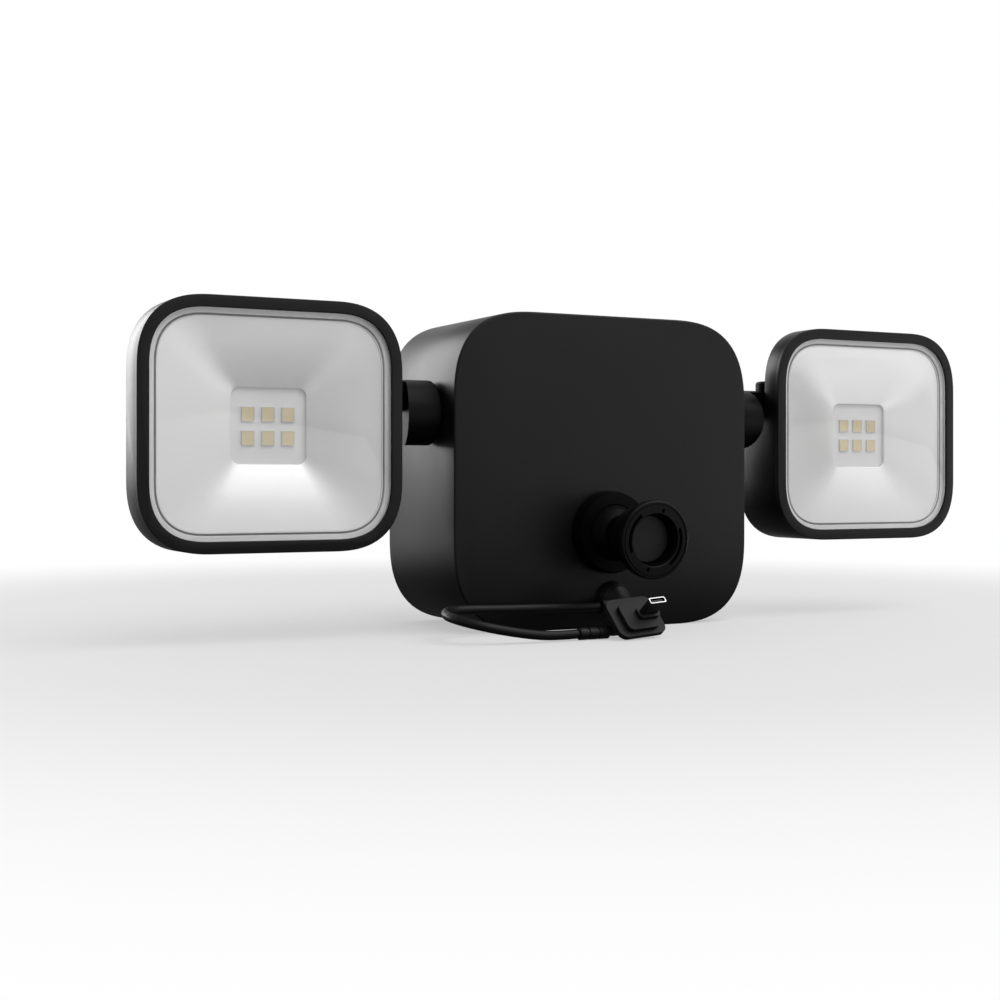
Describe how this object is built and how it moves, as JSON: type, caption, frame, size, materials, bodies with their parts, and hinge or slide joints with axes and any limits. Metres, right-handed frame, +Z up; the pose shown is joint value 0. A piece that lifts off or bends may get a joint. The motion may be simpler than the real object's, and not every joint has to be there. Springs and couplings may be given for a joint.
{
  "type": "floodlight security camera",
  "caption": "Battery wall floodlight with tilting lamp heads, a ball-jointed mount for a security camera and a short power lead.",
  "frame": {"origin": "centre of the wall bracket's back face, where it meets the wall", "axes": "+X along the wall to the right as seen from the front, +Y into the wall, +Z up"},
  "size_m": [0.3714, 0.1151, 0.124],
  "materials": {
    "bracket_plastic": "satin",
    "housing_plastic": "satin moulded plastic",
    "seal_rubber": "matt",
    "screw_steel": "plated",
    "inner_plastic": "matt",
    "cell_can": "printed sleeve",
    "contact_steel": "nickel plated",
    "board_green": "solder mask",
    "chip_black": "matt",
    "mount_plastic": "satin",
    "lead_rubber": "satin",
    "tip_steel": "plated",
    "bezel_plastic": "satin",
    "lens_glass": "clear",
    "gasket_clear": "frosted",
    "reflector_satin": "satin metallised",
    "led_board_white": "white mask",
    "led_phosphor": "phosphor",
    "heat_sink_metal": "extruded"
  },
  "bodies": {
    "housing": {"wall_bracket": "bracket_plastic", "rear_cover": "housing_plastic", "cover_seal": "seal_rubber", "cover_screws": "screw_steel", "front_housing": "housing_plastic", "battery_tray": "inner_plastic", "battery_cells": "cell_can", "battery_contacts": "contact_steel", "main_board": "board_green", "board_components": "chip_black", "board_screws": "screw_steel", "mount_base": "mount_plastic", "mount_nut": "inner_plastic", "lead_boot": "lead_rubber", "lead_cord": "lead_rubber", "lead_relief": "lead_rubber", "plug_body": "lead_rubber", "plug_seal": "seal_rubber", "plug_tip": "tip_steel", "plug_tongue": "chip_black"},
    "left_arm": {"left_arm": "housing_plastic", "left_arm_washer": "seal_rubber", "left_arm_clip": "screw_steel", "left_pivot_pin": "housing_plastic"},
    "right_arm": {"right_arm": "housing_plastic", "right_arm_washer": "seal_rubber", "right_arm_clip": "screw_steel", "right_pivot_pin": "housing_plastic"},
    "left_head": {"left_bezel": "bezel_plastic", "left_lens": "lens_glass", "left_gasket": "gasket_clear", "left_reflector": "reflector_satin", "left_led_board": "led_board_white", "left_led_chips": "led_phosphor", "left_heat_sink": "heat_sink_metal", "left_rear_shell": "housing_plastic"},
    "right_head": {"right_bezel": "bezel_plastic", "right_lens": "lens_glass", "right_gasket": "gasket_clear", "right_reflector": "reflector_satin", "right_led_board": "led_board_white", "right_led_chips": "led_phosphor", "right_heat_sink": "heat_sink_metal", "right_rear_shell": "housing_plastic"},
    "mount_cup": {"friction_cup": "inner_plastic"},
    "mount_stub": {"ball_stub": "mount_plastic", "stub_collar": "mount_plastic", "bayonet_ring": "mount_plastic", "centre_cap": "seal_rubber"}
  },
  "joints": [
    {"name": "left_arm_tilt", "type": "hinge", "parent": "housing", "child": "left_arm", "pos_m": [-0.067, -0.046, 0.0227], "axis": [1, 0, 0], "range_deg": [-45, 30]},
    {"name": "left_head_pan", "type": "hinge", "parent": "left_arm", "child": "left_head", "pos_m": [-0.095, -0.046, 0.0227], "axis": [0, 0, 1], "range_deg": [-25, 15]},
    {"name": "right_arm_tilt", "type": "hinge", "parent": "housing", "child": "right_arm", "pos_m": [0.067, -0.046, 0.0227], "axis": [1, 0, 0], "range_deg": [-45, 30]},
    {"name": "right_head_pan", "type": "hinge", "parent": "right_arm", "child": "right_head", "pos_m": [0.095, -0.046, 0.0227], "axis": [0, 0, 1], "range_deg": [-15, 25]},
    {"name": "camera_pan", "type": "hinge", "parent": "housing", "child": "mount_cup", "pos_m": [0, -0.0677, -0.0239], "axis": [0, 0, 1], "range_deg": [-18, 18]},
    {"name": "camera_tilt", "type": "hinge", "parent": "mount_cup", "child": "mount_stub", "pos_m": [0, -0.0677, -0.0239], "axis": [1, 0, 0], "range_deg": [-20, 14]}
  ]
}
